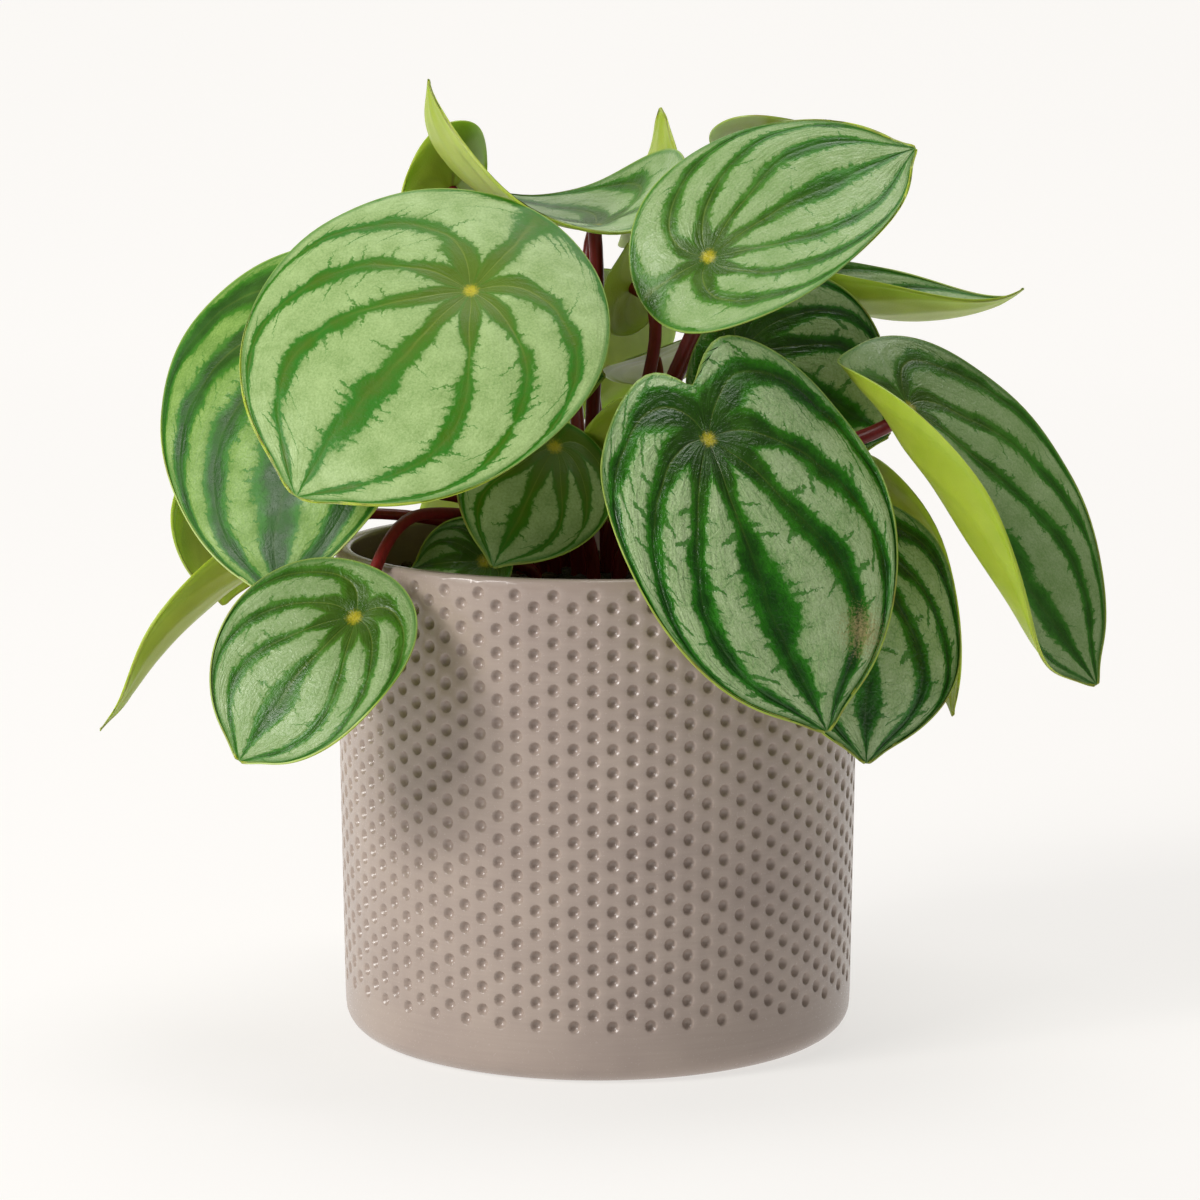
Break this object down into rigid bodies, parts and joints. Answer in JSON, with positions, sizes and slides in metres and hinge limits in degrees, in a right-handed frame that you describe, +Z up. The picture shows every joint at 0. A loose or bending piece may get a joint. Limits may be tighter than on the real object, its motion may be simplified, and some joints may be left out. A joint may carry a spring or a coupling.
{
  "type": "potted peperomia",
  "caption": "Potted watermelon peperomia: rounded silver-striped leaves on thin red stalks that stand in the soil of a dimpled taupe ceramic pot.",
  "frame": {"origin": "centre of the pot's flat base, on the surface that the pot stands on", "axes": "+Z up along the pot's axis, -Y towards the front of the plant, +X to the right as seen from the front"},
  "size_m": [0.2451, 0.1766, 0.2348],
  "materials": {
    "pot_glaze": "satin taupe glaze over even rows of small round dimples",
    "soil": "moist dark potting mix with bits of bark and a little moss",
    "leaf": "smooth waxy leaf, silver-green between dark green stripes along the veins",
    "stalk": "smooth dark red leaf stalk"
  },
  "bodies": {
    "root": {"pot": "pot_glaze", "soil": "soil", "blade_01": "leaf", "blade_02": "leaf", "blade_03": "leaf", "blade_04": "leaf", "blade_05": "leaf", "blade_06": "leaf", "blade_07": "leaf", "blade_08": "leaf", "blade_09": "leaf", "blade_10": "leaf", "blade_11": "leaf", "blade_12": "leaf", "blade_13": "leaf", "blade_14": "leaf", "blade_15": "leaf", "blade_16": "leaf", "blade_17": "leaf", "blade_18": "leaf", "blade_19": "leaf", "blade_20": "leaf", "blade_21": "leaf", "blade_22": "leaf", "blade_23": "leaf", "blade_24": "leaf", "blade_25": "leaf", "blade_26": "leaf", "blade_27": "leaf", "stalk_01": "stalk", "stalk_02": "stalk", "stalk_03": "stalk", "stalk_04": "stalk", "stalk_05": "stalk", "stalk_06": "stalk", "stalk_07": "stalk", "stalk_08": "stalk", "stalk_09": "stalk", "stalk_10": "stalk", "stalk_11": "stalk", "stalk_12": "stalk", "stalk_13": "stalk", "stalk_14": "stalk", "stalk_15": "stalk", "stalk_16": "stalk", "stalk_17": "stalk", "stalk_18": "stalk", "stalk_19": "stalk", "stalk_20": "stalk", "stalk_21": "stalk", "stalk_22": "stalk", "stalk_23": "stalk", "stalk_24": "stalk", "stalk_25": "stalk", "stalk_26": "stalk", "stalk_27": "stalk"}
  },
  "joints": []
}
